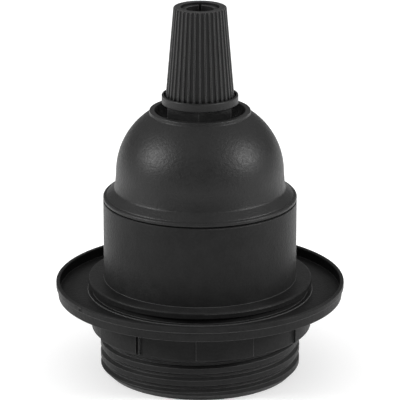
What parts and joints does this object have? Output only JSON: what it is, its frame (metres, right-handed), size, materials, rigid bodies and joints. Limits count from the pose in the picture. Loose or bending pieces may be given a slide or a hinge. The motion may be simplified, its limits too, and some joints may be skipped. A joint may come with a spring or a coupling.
{
  "type": "lamp holder",
  "caption": "Screw-cap lamp holder with a domed cap, a fluted conical cord grip and a threaded skirt that carries a shade ring.",
  "frame": {"origin": "centre of the skirt's bottom edge, on the holder's axis", "axes": "+Z along the holder's axis towards the cord, +X towards the side contact, -Y towards the front"},
  "size_m": [0.0576, 0.0576, 0.0746],
  "materials": {
    "black_shell": "satin black moulded plastic",
    "black_ring": "satin black moulded plastic",
    "black_cap": "satin black moulded plastic, faint mottle",
    "black_grip": "satin black moulded plastic",
    "black_nut": "satin black moulded plastic, fluted",
    "block_plastic": "matte ivory heat-proof thermoset",
    "spring_bronze": "bright phosphor bronze",
    "brass": "bright drawn brass",
    "zinc_steel": "bright zinc plate"
  },
  "bodies": {
    "shell": {"outer_shell": "black_shell"},
    "ring": {"shade_ring": "black_ring"},
    "insert": {"terminal_block": "block_plastic", "live_terminal": "brass", "neutral_terminal": "brass", "neutral_link": "brass", "centre_contact_rivet": "brass", "side_contact_rivet": "brass", "second_side_contact_rivet": "brass"},
    "cap": {"cap_dome": "black_cap", "cord_grip_body": "black_grip", "lock_washer": "zinc_steel", "lock_nut": "zinc_steel"},
    "collet": {"cord_grip_collet": "black_grip"},
    "cord_nut": {"cord_grip_nut": "black_nut"},
    "centre_spring": {"centre_contact": "spring_bronze"},
    "side_spring": {"side_contact": "spring_bronze"},
    "second_side_spring": {"second_side_contact": "spring_bronze"},
    "live_screw": {"live_terminal_screw": "zinc_steel"},
    "neutral_screw": {"neutral_terminal_screw": "zinc_steel"}
  },
  "joints": [
    {"name": "ring_travel", "type": "slide", "parent": "shell", "child": "ring", "axis": [0, 0, -1], "range_m": [0, 0.022]},
    {"name": "cap_turn", "type": "hinge", "parent": "shell", "child": "insert", "pos_m": [0, 0, 0.0235], "axis": [0, 0, 1], "range_deg": [0, 1080]},
    {"name": "cap_rise", "type": "slide", "parent": "insert", "child": "cap", "axis": [0, 0, 1], "range_m": [0, 0.006]},
    {"name": "nut_turn", "type": "hinge", "parent": "collet", "child": "cord_nut", "pos_m": [0, 0, 0.062], "axis": [0, 0, 1], "range_deg": [0, 1440]},
    {"name": "collet_rise", "type": "slide", "parent": "cap", "child": "collet", "axis": [0, 0, 1], "range_m": [0, 0.004]},
    {"name": "centre_contact_flex", "type": "hinge", "parent": "insert", "child": "centre_spring", "pos_m": [-0.0085, 0, 0.0247], "axis": [0, -1, 0], "range_deg": [0, 12], "stiffness_Nm_per_rad": 0.05},
    {"name": "side_contact_flex", "type": "hinge", "parent": "insert", "child": "side_spring", "pos_m": [0.0103, 0, 0.0247], "axis": [0, -1, 0], "range_deg": [0, 4], "stiffness_Nm_per_rad": 0.05},
    {"name": "second_side_contact_flex", "type": "hinge", "parent": "insert", "child": "second_side_spring", "pos_m": [-0.00515, 0.00892, 0.0247], "axis": [0.866, 0.5, 0], "range_deg": [0, 4], "stiffness_Nm_per_rad": 0.05},
    {"name": "live_screw_turn", "type": "hinge", "parent": "insert", "child": "live_screw", "pos_m": [-0.008, 0, 0.0345], "axis": [0, 0, 1], "range_deg": [0, 1080]},
    {"name": "neutral_screw_turn", "type": "hinge", "parent": "insert", "child": "neutral_screw", "pos_m": [0.008, 0, 0.0345], "axis": [0, 0, 1], "range_deg": [0, 1080]}
  ],
  "couplings": [
    {"joint": "cap_turn", "follows": "cap_rise", "rad_per_m": 3141.6},
    {"joint": "nut_turn", "follows": "collet_rise", "rad_per_m": 6283.2}
  ]
}
